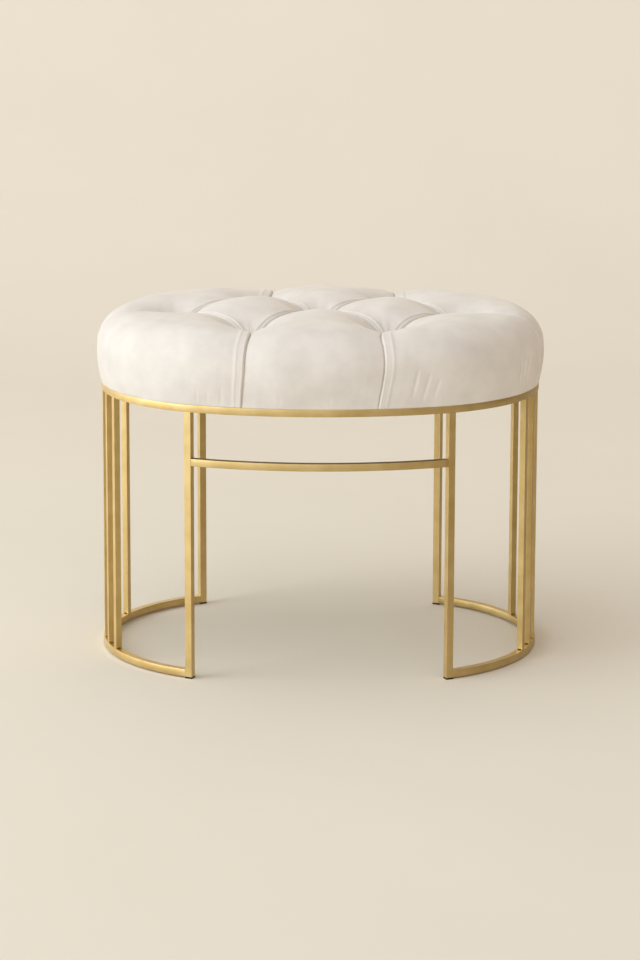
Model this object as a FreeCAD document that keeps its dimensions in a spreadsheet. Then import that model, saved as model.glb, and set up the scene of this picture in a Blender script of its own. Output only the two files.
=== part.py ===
import FreeCAD, Part

import math
import os

import Sketcher
from FreeCAD import Vector

# Vanity stool with an oval tufted seat on a square-tube frame.
# Millimetres, +Z up. The origin is on the floor under the middle of the oval,
# X runs along the long axis of the seat and -Y is the front, where the one stretcher is.

doc = FreeCAD.newDocument("VanityStool")

# Driving sizes
# Each cell holds one size of the object. Every piece below is bound to these cells.

sheet = doc.addObject("Spreadsheet::Sheet", "Sizes")
sizes = [
    ("frame_width", 580, "outer width of the oval frame"),
    ("frame_depth", 438, "outer depth of the oval frame"),
    ("end_angle", 71.3, "where an end arc of the oval meets a side arc, from the long axis"),
    ("tube_side", 9.5, "square tube of ring, rails, legs and stretcher"),
    ("tube_wall", 1.2, "wall of that tube"),
    ("leg_length", 346.5, "leg from the glide to the underside of the ring"),
    ("leg_angle", 66.2, "place of each leg on the end of the oval, from the long axis"),
    ("vent_radius", 2, "vent hole in the ring above each leg"),
    ("stretcher_height", 277, "underside of the stretcher above the foot of the legs"),
    ("upright_side", 8, "square tube of the uprights"),
    ("upright_wall", 1, "wall of the uprights"),
    ("upright_angle", 8.57, "angle from one upright to the next round the end of the oval"),
    ("drain_height", 1.5, "height of the drain slot at an upright's foot"),
    ("drain_width", 5, "width of the drain slot"),
    ("glide_height", 2, "visible thickness of the foot glide"),
    ("glide_plug", 12, "length of the glide's plug in the leg"),
    ("glide_fit", 0.1, "clearance of the plug in the tube, each side"),
    ("tab_angle", 48, "place of each seat tab on the end of the oval"),
    ("tab_width", 22, "width of a seat tab"),
    ("tab_reach", 30, "reach of a seat tab from the ring"),
    ("tab_thickness", 3, "thickness of a seat tab"),
    ("screw_inset", 16, "screw from the inner face of the ring"),
    ("screw_radius", 2.95, "radius of the seat screw's thread"),
    ("screw_length", 16, "seat screw under its head"),
    ("screw_head_radius", 6, "radius of the screw's head"),
    ("screw_head_height", 3.3, "height of the screw's head"),
    ("screw_clearance", 0.35, "clearance of the screw in the holes it passes"),
    ("insert_radius", 4, "barrel of the threaded insert"),
    ("insert_length", 9, "length of the insert's barrel below its flange"),
    ("insert_flange_radius", 9.5, "flange of the threaded insert"),
    ("insert_flange_height", 1.3, "thickness of the insert's flange"),
    ("insert_fit", 0.1, "clearance of the insert in the board"),
    ("dust_thickness", 0.6, "dust cover sheet"),
    ("dust_inset", 2, "dust cover from the inner face of the ring"),
    ("cover_thickness", 1, "seat cover where it is turned under the board"),
    ("cover_turn", 18, "cover turned under the board, past the ring's inner face"),
    ("cover_inset", 0.5, "foot of the cover from the ring's outer face"),
    ("board_thickness", 12, "plywood seat board"),
    ("board_inset", 4, "edge of the board from the ring's outer face"),
    ("cushion_height", 98, "crown of the seat above the ring"),
    ("cushion_overhang", 7.5, "bulge of the cushion past the ring"),
    ("cushion_belly", 42, "height of the bulge above the ring"),
    ("shoulder_radius", 44, "rounding of the cushion's upper edge"),
    ("crown_rise", 3, "rise of the crown above the shoulder"),
    ("crown_inset", 105, "edge of the flat crown from the ring's outer face"),
    ("padding", 12, "cover and wadding over the foam"),
    ("tuft_side_x", 185, "outer tufts of the middle row from its own centre"),
    ("tuft_row_x", 89.5, "tufts of the front and back rows from their row's centre"),
    ("tuft_row_y", 98, "front and back rows from the middle row"),
    ("middle_row_shift", 7, "middle row to the left of the seat's centre, as it was sewn"),
    ("back_row_shift", 14, "back row to the right of the seat's centre, as it was sewn"),
    ("tuft_depth", 36, "tuft below the crown"),
    ("tuft_mouth", 30, "radius of the tuft at the crown"),
    ("foam_bore", 32, "radius of the hole in the foam under a tuft"),
    ("foam_bore_floor", 8, "padding between a button and the foam below it"),
    ("pleat_depth", 9, "pleat between two tufts"),
    ("pleat_width", 16, "width of that pleat at the crown"),
    ("edge_pleat_depth", 4, "pleat from an outer tuft over the side"),
    ("edge_pleat_width", 3, "width of the side pleat"),
    ("button_radius", 9, "covered button"),
    ("button_height", 5, "height of the button"),
    ("button_clearance", 0.5, "button from the wall of its tuft"),
    ("twine_radius", 0.7, "tufting twine"),
    ("twine_clearance", 0.3, "hole round the twine"),
    ("washer_radius", 7, "washer that holds the twine under the board"),
    ("washer_thickness", 0.9, "thickness of that washer"),
]
for row, (name, value, words) in enumerate(sizes, start=1):
    sheet.set("A%d" % row, words)
    sheet.set("B%d" % row, str(value))
    sheet.setAlias("B%d" % row, name)
doc.recompute()

# Names for the expressions
# S("x") is the cell x in an expression, and size("x") is its number.


def S(name):
    return "Sizes." + name


def size(name):
    return float(sheet.get(name))


# The oval is the line of a tube bender: two end arcs and two flatter side arcs that run into each
# other. The end arcs stand on END_X, and both radii follow from the width, the depth and the angle
# at which the arcs meet. RADIUS_GAP is how much larger the side arcs' radius is.
RADIUS_GAP = (
    "((Sizes.frame_width - Sizes.frame_depth) / 2 / (cos(Sizes.end_angle) + sin(Sizes.end_angle) - 1))"
)
END_X = "(%s * cos(Sizes.end_angle))" % RADIUS_GAP
END_RADIUS = "(Sizes.frame_width / 2 - %s)" % END_X
SIDE_RADIUS = "(%s + %s)" % (END_RADIUS, RADIUS_GAP)
Z_RING = "(Sizes.glide_height + Sizes.leg_length)"
Z_SEAT = "(Sizes.glide_height + Sizes.leg_length + Sizes.tube_side)"

nodes = []


def bind(obj, **expressions):
    for prop, text in expressions.items():
        obj.setExpression(prop, text)
    return obj


def lift(obj, height):
    obj.setExpression(".Placement.Base.z", height)
    return obj


def finished(obj, label):
    obj.Label = label
    nodes.append(obj)
    return obj


def on_oval(obj, place, out="0", along="0", height="0"):
    # Stands a piece on the middle line of the frame's tube, at one place on an end of the oval,
    # turned square to it: out is measured outwards, along is measured round the oval.
    end, angle = place
    radius = "(%s - Sizes.tube_side / 2 + (%s))" % (END_RADIUS, out)
    spot = "%d * %s + %s * cos(%s) - (%s) * sin(%s)"
    obj.Placement = FreeCAD.Placement(Vector(0, 0, 0), FreeCAD.Rotation(Vector(0, 0, 1), 10))
    obj.setExpression(".Placement.Rotation.Angle", angle)
    obj.setExpression(".Placement.Base.x", spot % (end, END_X, radius, angle, along, angle))
    obj.setExpression(".Placement.Base.y", "%s * sin(%s) + (%s) * cos(%s)" % (radius, angle, along, angle))
    obj.setExpression(".Placement.Base.z", height)
    return obj


def box(name, length, width, height, x="0", y="0", z="0"):
    obj = doc.addObject("Part::Box", name)
    bind(obj, Length=length, Width=width, Height=height)
    obj.setExpression(".Placement.Base.x", x)
    obj.setExpression(".Placement.Base.y", y)
    obj.setExpression(".Placement.Base.z", z)
    return obj


def square_bar(name, side, height, z="0"):
    half = "-(%s) / 2" % side
    return box(name, side, side, height, half, half, z)


def rod(name, radius, height, z="0"):
    obj = doc.addObject("Part::Cylinder", name)
    bind(obj, Radius=radius, Height=height)
    return lift(obj, z)


def oval_arcs(outset):
    # The two end arcs and two side arcs of the oval, moved outwards by outset, as circles' arcs.
    meet = math.radians(size("end_angle"))
    gap = (size("frame_width") - size("frame_depth")) / 2 / (math.cos(meet) + math.sin(meet) - 1)
    end_x = gap * math.cos(meet)
    side_y = gap * math.sin(meet)
    end_radius = size("frame_width") / 2 - end_x
    side_radius = end_radius + gap
    return [
        (end_x, 0, end_radius + outset, -meet, meet),
        (0, -side_y, side_radius + outset, meet, math.pi - meet),
        (-end_x, 0, end_radius + outset, math.pi - meet, math.pi + meet),
        (0, side_y, side_radius + outset, math.pi + meet, 2 * math.pi - meet),
    ]


def oval_disc(name, inset, height, z="0"):
    # A flat oval plate whose outline lies inset inside the outline of the frame.
    sketch = doc.addObject("Sketcher::SketchObject", name + "_outline")
    for x, y, radius, first, last in oval_arcs(0):
        circle = Part.Circle(Vector(x, y, 0), Vector(0, 0, 1), radius)
        sketch.addGeometry(Part.ArcOfCircle(circle, first, last), False)
    for i in range(4):
        sketch.addConstraint(Sketcher.Constraint("Tangent", i, 2, (i + 1) % 4, 1))
    sketch.addConstraint(Sketcher.Constraint("PointOnObject", 0, 3, -1))
    sketch.addConstraint(Sketcher.Constraint("PointOnObject", 2, 3, -1))
    sketch.addConstraint(Sketcher.Constraint("Equal", 0, 2))
    sketch.addConstraint(Sketcher.Constraint("Equal", 1, 3))
    end_x, _, end_radius, _, _ = oval_arcs(0)[0]
    side_radius = oval_arcs(0)[1][2]
    rules = [
        ("right_end", Sketcher.Constraint("DistanceX", -1, 1, 0, 3, end_x), END_X),
        ("left_end", Sketcher.Constraint("DistanceX", 2, 3, -1, 1, end_x), END_X),
        ("end_arc", Sketcher.Constraint("Radius", 0, end_radius), "%s - (%s)" % (END_RADIUS, inset)),
        ("side_arc", Sketcher.Constraint("Radius", 1, side_radius), "%s - (%s)" % (SIDE_RADIUS, inset)),
    ]
    for rule, constraint, text in rules:
        number = sketch.addConstraint(constraint)
        sketch.renameConstraint(number, rule)
        sketch.setExpression("Constraints." + rule, text)
    lift(sketch, z)
    disc = doc.addObject("Part::Extrusion", name)
    disc.Base = sketch
    disc.DirMode = "Custom"
    disc.Dir = Vector(0, 0, 1)
    disc.Solid = True
    bind(disc, LengthFwd=height)
    return disc


def cut(name, base, tool):
    obj = doc.addObject("Part::Cut", name)
    obj.Base = base
    obj.Tool = tool
    return obj


def joined(name, pieces):
    obj = doc.addObject("Part::MultiFuse", name)
    obj.Shapes = pieces
    return obj


def group(name, pieces):
    obj = doc.addObject("Part::Compound", name)
    obj.Links = pieces
    return obj


# Frame tube bent to the oval
# The ring, the two bottom rails and the stretcher are the same square tube, bent to one oval.


def oval_tube(name):
    wall = S("tube_wall")
    side = S("tube_side")
    bore = "%s - 2 * %s" % (side, wall)
    solid = cut(
        name + "_bar",
        oval_disc(name + "_outer", "0", side),
        oval_disc(name + "_inner", side, side),
    )
    hollow = cut(
        name + "_bore",
        oval_disc(name + "_bore_outer", wall, bore, wall),
        oval_disc(name + "_bore_inner", "%s - %s" % (side, wall), bore, wall),
    )
    return cut(name + "_tube", solid, hollow)


def trim(name, base, place, keep):
    # Cuts the oval tube square at the side face of a leg and keeps what lies past it, round the
    # oval (keep is 1) or back along it (keep is -1).
    reach = "2 * Sizes.frame_width"
    block = box(name + "_trim", reach, reach, "3 * Sizes.tube_side")
    along = "Sizes.tube_side / 2 - 2 * Sizes.frame_width" if keep > 0 else "-Sizes.tube_side / 2"
    on_oval(block, place, "-Sizes.frame_width", along, "-Sizes.tube_side")
    return cut(name, base, block)


def four_places(angle):
    # The same place on all four quarters: which end of the oval, and the angle there.
    return {
        "front_right": (1, "(-%s)" % angle),
        "front_left": (-1, "(%s - 180)" % angle),
        "back_right": (1, "(%s)" % angle),
        "back_left": (-1, "(180 - %s)" % angle),
    }


LEGS = four_places(S("leg_angle"))

# Seat ring, with a vent hole over each leg

ring = oval_tube("seat_ring")
vents = []
for corner, place in LEGS.items():
    vent = rod("seat_ring_vent_" + corner, S("vent_radius"), "2 * " + S("tube_wall"))
    vents.append(on_oval(vent, place, height="-%s / 2" % S("tube_wall")))
ring = cut("seat_ring", ring, joined("seat_ring_vents", vents))
lift(ring, Z_RING)
finished(ring, "seat_ring")

# Bottom rails, each from its front leg round the side to its back leg

left = trim("left_rail_front_end", oval_tube("left_rail"), LEGS["front_left"], -1)
left = trim("left_bottom_rail", left, LEGS["back_left"], 1)
finished(lift(left, S("glide_height")), "left_bottom_rail")

right = trim("right_rail_front_end", oval_tube("right_rail"), LEGS["front_right"], 1)
right = trim("right_bottom_rail", right, LEGS["back_right"], -1)
finished(lift(right, S("glide_height")), "right_bottom_rail")

# Front stretcher, between the two front legs

stretcher = trim("stretcher_left_end", oval_tube("stretcher"), LEGS["front_left"], 1)
stretcher = trim("front_stretcher", stretcher, LEGS["front_right"], -1)
finished(lift(stretcher, "Sizes.glide_height + Sizes.stretcher_height"), "front_stretcher")

# Legs and their glides
# Each leg is an open square tube from its glide up to the ring. The glide's plug sits in the tube.

for corner, place in LEGS.items():
    name = "leg_" + corner
    leg = cut(
        name,
        square_bar(name + "_bar", S("tube_side"), S("leg_length")),
        square_bar(name + "_bore", "Sizes.tube_side - 2 * Sizes.tube_wall", S("leg_length")),
    )
    finished(on_oval(leg, place, height=S("glide_height")), name)

    name = "glide_" + corner
    plug = "Sizes.tube_side - 2 * Sizes.tube_wall - 2 * Sizes.glide_fit"
    glide = joined(
        name,
        [
            square_bar(name + "_pad", S("tube_side"), S("glide_height")),
            square_bar(name + "_plug", plug, "Sizes.glide_plug + Sizes.glide_height"),
        ],
    )
    finished(on_oval(glide, place), name)

# Uprights
# Seven thinner tubes stand on each bottom rail and reach the ring. A slot through the foot of
# each drained the plating bath.

UPRIGHTS = 7
upright_length = "Sizes.leg_length - Sizes.tube_side"
upright_bore = "Sizes.upright_side - 2 * Sizes.upright_wall"
for side, end, middle in (("left", -1, 180), ("right", 1, 0)):
    for number in range(1, UPRIGHTS + 1):
        name = "%s_upright_%d" % (side, number)
        steps = end * (number - (UPRIGHTS + 1) // 2)
        place = (end, "(%d + %d * Sizes.upright_angle)" % (middle, steps))
        slot = box(
            name + "_slot",
            S("drain_width"),
            "2 * Sizes.upright_side",
            S("drain_height"),
            "-Sizes.drain_width / 2",
            "-Sizes.upright_side",
        )
        tube = cut(
            name + "_tube",
            square_bar(name + "_bar", S("upright_side"), upright_length),
            square_bar(name + "_bore", upright_bore, upright_length),
        )
        upright = cut(name, tube, slot)
        on_oval(upright, place, height="Sizes.glide_height + Sizes.tube_side")
        finished(upright, name)

# Seat tabs, screws and threaded inserts
# Four flat tabs are welded inside the ring. A screw goes up through each into an insert that is
# set in the seat board. Heights here are measured from the top face of the ring.

TABS = four_places(S("tab_angle"))
SCREW_OUT = "-(Sizes.tube_side / 2 + Sizes.screw_inset)"
SCREW_HOLE = "Sizes.screw_radius + Sizes.screw_clearance"
TAB_FOOT = "-(Sizes.dust_thickness + Sizes.tab_thickness)"
BOARD_TOP = "(Sizes.cover_thickness + Sizes.board_thickness)"


def screw_holes(name, radius, height, z):
    holes = []
    for corner, place in TABS.items():
        hole = rod(name + "_" + corner, radius, height)
        holes.append(on_oval(hole, place, SCREW_OUT, height=z))
    return holes


screws = []
inserts = []
for corner, place in TABS.items():
    name = "seat_tab_" + corner
    plate = box(name + "_plate", "Sizes.tab_reach + Sizes.tube_side / 2", S("tab_width"), S("tab_thickness"))
    on_oval(plate, place, "-(Sizes.tab_reach + Sizes.tube_side / 2)", "-Sizes.tab_width / 2", TAB_FOOT)
    trimmed = doc.addObject("Part::Common", name + "_trimmed")
    trimmed.Base = plate
    trimmed.Tool = oval_disc(name + "_room", S("tube_side"), "2 * Sizes.tube_side", "-Sizes.tube_side")
    hole = on_oval(
        rod(name + "_hole", SCREW_HOLE, "2 * Sizes.tube_side"), place, SCREW_OUT, height="-Sizes.tube_side"
    )
    finished(lift(cut(name, trimmed, hole), Z_SEAT), name)

    head = rod("screw_head_" + corner, S("screw_head_radius"), S("screw_head_height"))
    lift(head, "-Sizes.screw_head_height")
    socket = doc.addObject("Part::Prism", "screw_socket_" + corner)
    socket.Polygon = 6
    bind(socket, Circumradius="Sizes.screw_radius * 0.75", Height="Sizes.screw_head_height * 0.6")
    lift(socket, "-Sizes.screw_head_height")
    shank = rod("screw_shank_" + corner, S("screw_radius"), S("screw_length"))
    screw = cut("seat_screw_" + corner, joined("screw_body_" + corner, [head, shank]), socket)
    screws.append(on_oval(screw, place, SCREW_OUT, height="%s + %s" % (Z_SEAT, TAB_FOOT)))

    flange = rod("insert_flange_" + corner, S("insert_flange_radius"), S("insert_flange_height"))
    barrel = rod("insert_barrel_" + corner, S("insert_radius"), S("insert_length"), "-Sizes.insert_length")
    thread = rod(
        "insert_thread_" + corner,
        "Sizes.screw_radius + Sizes.insert_fit",
        "Sizes.insert_length + Sizes.insert_flange_height",
        "-Sizes.insert_length",
    )
    insert = cut("seat_insert_" + corner, joined("insert_body_" + corner, [flange, barrel]), thread)
    height = "%s + %s - Sizes.insert_flange_height" % (Z_SEAT, BOARD_TOP)
    inserts.append(on_oval(insert, place, SCREW_OUT, height=height))

finished(group("seat_screws", screws), "seat_screws")
finished(group("seat_inserts", inserts), "seat_inserts")

# Tufts
# Seven tufts in rows of two, three and two. The rows were sewn a little to one side.

SIDE_X = size("tuft_side_x")
ROW_X = size("tuft_row_x")
ROW_Y = size("tuft_row_y")
MIDDLE_X = -size("middle_row_shift")
BACK_X = size("back_row_shift")
TUFTS = {
    "front_left": (-ROW_X, -ROW_Y),
    "front_right": (ROW_X, -ROW_Y),
    "middle_left": (MIDDLE_X - SIDE_X, 0),
    "centre": (MIDDLE_X, 0),
    "middle_right": (MIDDLE_X + SIDE_X, 0),
    "back_left": (BACK_X - ROW_X, ROW_Y),
    "back_right": (BACK_X + ROW_X, ROW_Y),
}
TUFT_CELLS = {
    "front_left": ("-Sizes.tuft_row_x", "-Sizes.tuft_row_y"),
    "front_right": ("Sizes.tuft_row_x", "-Sizes.tuft_row_y"),
    "middle_left": ("-Sizes.middle_row_shift - Sizes.tuft_side_x", "0"),
    "centre": ("-Sizes.middle_row_shift", "0"),
    "middle_right": ("Sizes.tuft_side_x - Sizes.middle_row_shift", "0"),
    "back_left": ("Sizes.back_row_shift - Sizes.tuft_row_x", "Sizes.tuft_row_y"),
    "back_right": ("Sizes.back_row_shift + Sizes.tuft_row_x", "Sizes.tuft_row_y"),
}
PLEATS = [
    ("front_left", "middle_left"),
    ("front_left", "centre"),
    ("front_right", "centre"),
    ("front_right", "middle_right"),
    ("centre", "back_left"),
    ("centre", "back_right"),
    ("middle_left", "back_left"),
    ("middle_right", "back_right"),
]
EDGE_PLEATS = {
    "front_left": (0, -1),
    "front_right": (0, -1),
    "middle_left": (-1, 0),
    "middle_right": (1, 0),
    "back_left": (0, 1),
    "back_right": (0, 1),
}


def at_tuft(obj, tuft, height):
    x, y = TUFT_CELLS[tuft]
    obj.setExpression(".Placement.Base.x", x)
    obj.setExpression(".Placement.Base.y", y)
    obj.setExpression(".Placement.Base.z", height)
    return obj


# Dust cover, a thin sheet between the tabs and the turned-in seat cover

dust = cut(
    "dust_cover",
    oval_disc("dust_sheet", "Sizes.tube_side + Sizes.dust_inset", S("dust_thickness"), "-Sizes.dust_thickness"),
    joined("dust_holes", screw_holes("dust_hole", SCREW_HOLE, "2 * Sizes.dust_thickness", "-1.5 * Sizes.dust_thickness")),
)
finished(lift(dust, Z_SEAT), "dust_cover")

# Seat board, plywood with seats for the inserts and holes for the twine

tools = screw_holes(
    "board_hole", "Sizes.insert_radius + Sizes.insert_fit", "2 * Sizes.board_thickness", "-Sizes.board_thickness / 2"
)
tools += screw_holes(
    "board_seat",
    "Sizes.insert_flange_radius + Sizes.insert_fit",
    "2 * Sizes.insert_flange_height",
    "%s - Sizes.insert_flange_height" % BOARD_TOP,
)
for tuft in TUFTS:
    hole = rod("board_twine_" + tuft, "Sizes.twine_radius + Sizes.twine_clearance", "2 * Sizes.board_thickness")
    tools.append(at_tuft(hole, tuft, "-Sizes.board_thickness / 2"))
board = cut(
    "seat_board",
    oval_disc("board_sheet", S("board_inset"), S("board_thickness"), S("cover_thickness")),
    joined("board_tools", tools),
)
finished(lift(board, Z_SEAT), "seat_board")

# Buttons, twine and washers
# Twine runs from each covered button through the foam and the board to a washer below it.

buttons = []
twines = []
washers = []
button_foot = "%s + Sizes.cushion_height - Sizes.tuft_depth" % Z_SEAT
for tuft in TUFTS:
    disc = rod("button_disc_" + tuft, S("button_radius"), S("button_height"))
    ball = doc.addObject("Part::Sphere", "button_ball_" + tuft)
    bind(ball, Radius="Sizes.button_radius + Sizes.button_height / 2")
    lift(ball, "Sizes.button_height / 2 - Sizes.button_radius")
    button = doc.addObject("Part::Common", "button_" + tuft)
    button.Base = disc
    button.Tool = ball
    buttons.append(at_tuft(button, tuft, button_foot))

    run = "Sizes.cushion_height - Sizes.tuft_depth - Sizes.cover_thickness + Sizes.washer_thickness"
    twine = rod("twine_" + tuft, S("twine_radius"), run)
    foot = "%s + Sizes.cover_thickness - Sizes.washer_thickness" % Z_SEAT
    twines.append(at_tuft(twine, tuft, foot))

    washer = cut(
        "washer_" + tuft,
        rod("washer_disc_" + tuft, S("washer_radius"), S("washer_thickness")),
        rod("washer_hole_" + tuft, "Sizes.twine_radius + Sizes.twine_clearance", S("washer_thickness")),
    )
    washers.append(at_tuft(washer, tuft, foot))

finished(group("tuft_buttons", buttons), "tuft_buttons")
finished(group("tuft_twines", twines), "tuft_twines")
finished(group("tuft_washers", washers), "tuft_washers")

# Cushion forms
# The foam and its cover are lofts through ovals. The side swells past the ring, the shoulder
# rounds over and the crown rises a little to a flat top, which the tufts then draw in.

doc.recompute()

HEIGHT = size("cushion_height")
OVERHANG = size("cushion_overhang")
BELLY = size("cushion_belly")
SHOULDER = size("shoulder_radius")
RISE = size("crown_rise")
BOARD_TOP_Z = size("cover_thickness") + size("board_thickness")
SHOULDER_FOOT = HEIGHT - RISE - SHOULDER


def side_outset(height):
    # How far the side stands out past the frame at a height above the ring.
    share = min(max(height / BELLY, 0), 1)
    return -size("cover_inset") + (OVERHANG + size("cover_inset")) * math.sin(math.pi / 2 * share)


def oval_wire(outset, height):
    arcs = []
    for x, y, radius, first, last in oval_arcs(outset):
        circle = Part.Circle(Vector(x, y, height), Vector(0, 0, 1), radius)
        middle = (first + last) / 2
        arcs.append(Part.ArcOfCircle(circle, first, middle).toShape())
        arcs.append(Part.ArcOfCircle(circle, middle, last).toShape())
    return Part.Wire(arcs)


def cushion_form(inset, foot):
    # The outer form of the cushion drawn in by inset, from the height foot upwards.
    # The ovals lie at even steps along the profile, so that the loft doesn't swing past them.
    low = max(foot, 0)
    sections = []
    for i in range(4):
        height = low + (SHOULDER_FOOT - low) * i / 4
        sections.append((side_outset(height) - inset, height))
    sections[0] = (sections[0][0], foot)
    for degrees in (0, 25, 50, 75):
        rise = math.sin(math.radians(degrees)) * (SHOULDER - inset)
        run = (1 - math.cos(math.radians(degrees))) * (SHOULDER - inset)
        sections.append((OVERHANG - inset - run, SHOULDER_FOOT + rise))
    edge, low = sections[-1]
    for i in range(1, 6):
        outset = edge + (-size("crown_inset") - edge) * i / 5
        height = HEIGHT - inset - (HEIGHT - inset - low) * (1 - i / 5) ** 2
        sections.append((outset, height))
    return Part.makeLoft([oval_wire(outset, z) for outset, z in sections], True, False)


def tuft_rod(tuft, radius, foot, top):
    x, y = TUFTS[tuft]
    return Part.makeCylinder(radius, top - foot, Vector(x, y, foot))


def seat_feature(name, shape):
    # A soft piece: its shape is drawn from the sheet and then stood on the ring.
    obj = doc.addObject("Part::Feature", name)
    obj.Shape = shape
    lift(obj, Z_SEAT)
    return finished(obj, name)


# Foam core with a wide hole under each tuft

TUFT_FOOT = HEIGHT - size("tuft_depth")
BORE_FOOT = TUFT_FOOT - size("foam_bore_floor")
twine_hole = size("twine_radius") + size("twine_clearance")
past = size("cover_thickness")
foam_room = cushion_form(size("padding"), BOARD_TOP_Z)
foam_room = foam_room.cut([tuft_rod(tuft, size("foam_bore"), BORE_FOOT, HEIGHT) for tuft in TUFTS])
foam = foam_room.cut([tuft_rod(tuft, twine_hole, BOARD_TOP_Z - past, BORE_FOOT + past) for tuft in TUFTS])
seat_feature("foam_core", foam)

# Seat cover with its wadding
# It follows the foam and the edge of the board, turns in under the board and dips to a button
# at each tuft. Folds run between the tufts, and from the outer tufts over the side.

cover = cushion_form(0, 0)
wide = size("frame_width") + size("frame_depth")
folds = []
for tuft, (x, y) in TUFTS.items():
    mouth = size("tuft_mouth")
    floor = size("button_radius") + size("button_clearance")
    folds.append(Part.makeCone(floor, mouth, size("tuft_depth"), Vector(x, y, TUFT_FOOT)))
for first, second in PLEATS:
    start = Vector(*TUFTS[first], 0)
    run = Vector(*TUFTS[second], 0) - start
    across = Vector(-run.y, run.x, 0).normalize() * (size("pleat_width") / 2)
    lift_by = Vector(0, 0, HEIGHT)
    crease = start + Vector(0, 0, HEIGHT - size("pleat_depth"))
    corners = [crease, start + across + lift_by, start - across + lift_by, crease]
    folds.append(Part.Face(Part.makePolygon(corners)).extrude(run))
edge_form = cushion_form(size("edge_pleat_depth"), -past)
half_pleat = size("edge_pleat_width") / 2
for tuft, (dx, dy) in EDGE_PLEATS.items():
    x, y = TUFTS[tuft]
    start = Vector(x - half_pleat * abs(dy), y - half_pleat * abs(dx), 0)
    length = wide * abs(dx) + 2 * half_pleat * abs(dy)
    depth = wide * abs(dy) + 2 * half_pleat * abs(dx)
    if dx < 0:
        start.x -= wide
    if dy < 0:
        start.y -= wide
    folds.append(Part.makeBox(length, depth, HEIGHT + past, start).cut(edge_form))
cover = cover.cut(folds)

board_room = Part.Face(oval_wire(-size("board_inset"), size("cover_thickness")))
board_room = board_room.extrude(Vector(0, 0, size("board_thickness")))
opening = Part.Face(oval_wire(-size("tube_side") - size("cover_turn"), -past))
opening = opening.extrude(Vector(0, 0, size("cover_thickness") + past))
hollows = [foam_room, board_room, opening]
for tuft in TUFTS:
    hollows.append(tuft_rod(tuft, twine_hole, BORE_FOOT - past, TUFT_FOOT + past))
for hole in screw_holes("cover_hole", SCREW_HOLE, "2 * Sizes.cover_thickness", "-Sizes.cover_thickness / 2"):
    doc.recompute()
    hollows.append(hole.Shape)
cover = cover.cut(hollows)
seat_feature("seat_cover", cover)

# Check and write
# A piece that failed, is empty or is not valid stops the run before anything is written.

doc.recompute()
for obj in doc.Objects:
    if "Invalid" in obj.State or "Error" in obj.State:
        raise RuntimeError("failed: " + obj.Name)
for obj in nodes:
    if obj.Shape.isNull() or not obj.Shape.isValid() or not obj.Shape.Solids:
        raise RuntimeError("bad shape: " + obj.Label)

os.makedirs("parts", exist_ok=True)
for obj in nodes:
    obj.Shape.exportStep("parts/%s.step" % obj.Label)
    box_of = obj.Shape.BoundBox
    print(
        "%-20s %2d solids %9.2f cm3  x %7.1f..%6.1f  y %7.1f..%6.1f  z %6.1f..%6.1f"
        % (
            obj.Label,
            len(obj.Shape.Solids),
            obj.Shape.Volume / 1000,
            box_of.XMin,
            box_of.XMax,
            box_of.YMin,
            box_of.YMax,
            box_of.ZMin,
            box_of.ZMax,
        )
    )
print(len(nodes), "pieces written")
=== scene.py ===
# %% [markdown]
# # A tufted vanity stool with a brass frame
# This lesson dresses a small oval stool: a thin square-tube frame in satin brass carries a thick,
# button-tufted velvet cushion. The frame arrives as finished construction solids, so the lesson
# spends its time on what those solids can't show: the pillowed fabric with its folded pleats,
# the pile of the velvet, the soft corners of the tube and the grain of the metal.
# The first cell loads the solids. Nothing in them is moved afterwards.

# %% Load the frame
import math

import bpy
import numpy as np
from mathutils import Matrix, Vector, geometry


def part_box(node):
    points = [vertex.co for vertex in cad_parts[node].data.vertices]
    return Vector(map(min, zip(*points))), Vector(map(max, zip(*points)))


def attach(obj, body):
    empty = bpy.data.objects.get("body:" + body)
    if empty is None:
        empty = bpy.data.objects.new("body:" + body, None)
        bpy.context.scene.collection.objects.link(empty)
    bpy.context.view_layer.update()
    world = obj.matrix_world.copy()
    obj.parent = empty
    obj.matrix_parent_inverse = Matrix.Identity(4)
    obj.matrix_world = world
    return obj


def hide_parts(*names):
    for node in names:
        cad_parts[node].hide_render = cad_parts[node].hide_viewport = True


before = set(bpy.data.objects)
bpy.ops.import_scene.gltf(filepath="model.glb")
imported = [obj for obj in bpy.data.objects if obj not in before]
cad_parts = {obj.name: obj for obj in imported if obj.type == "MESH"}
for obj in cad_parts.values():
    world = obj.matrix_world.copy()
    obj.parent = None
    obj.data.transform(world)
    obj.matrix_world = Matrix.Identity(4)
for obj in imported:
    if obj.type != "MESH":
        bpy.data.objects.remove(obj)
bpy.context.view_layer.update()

BODY = "root"
MM = 0.001

# %% [markdown]
# ## Two small helpers for materials
# Colours are written the way a paint chart or a picture editor gives them, as sRGB hex values.
# Blender mixes light in linear values, so one function turns the first into the second.
# A second function adds a node, sets it up and links it, which keeps each material short.

# %% Colour and node helpers
def linear(hex_colour):
    """An sRGB hex colour as a linear RGBA tuple."""
    channels = [int(hex_colour[i : i + 2], 16) / 255 for i in (1, 3, 5)]
    flat = [c / 12.92 if c <= 0.04045 else ((c + 0.055) / 1.055) ** 2.4 for c in channels]
    return (*flat, 1.0)


def add_node(tree, kind, inputs=None, **settings):
    """Adds a node. inputs maps a socket to a value or to another node's output."""
    node = tree.nodes.new(kind)
    for name, value in settings.items():
        setattr(node, name, value)
    for socket, value in (inputs or {}).items():
        if isinstance(value, bpy.types.NodeSocket):
            tree.links.new(value, node.inputs[socket])
        else:
            node.inputs[socket].default_value = value
    return node


def new_material(name):
    """A material with its node tree and its Principled shader."""
    material = bpy.data.materials.new(name)
    material.use_nodes = True
    return material, material.node_tree, material.node_tree.nodes["Principled BSDF"]


print("white as linear:", linear("#FFFFFF"))

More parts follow.
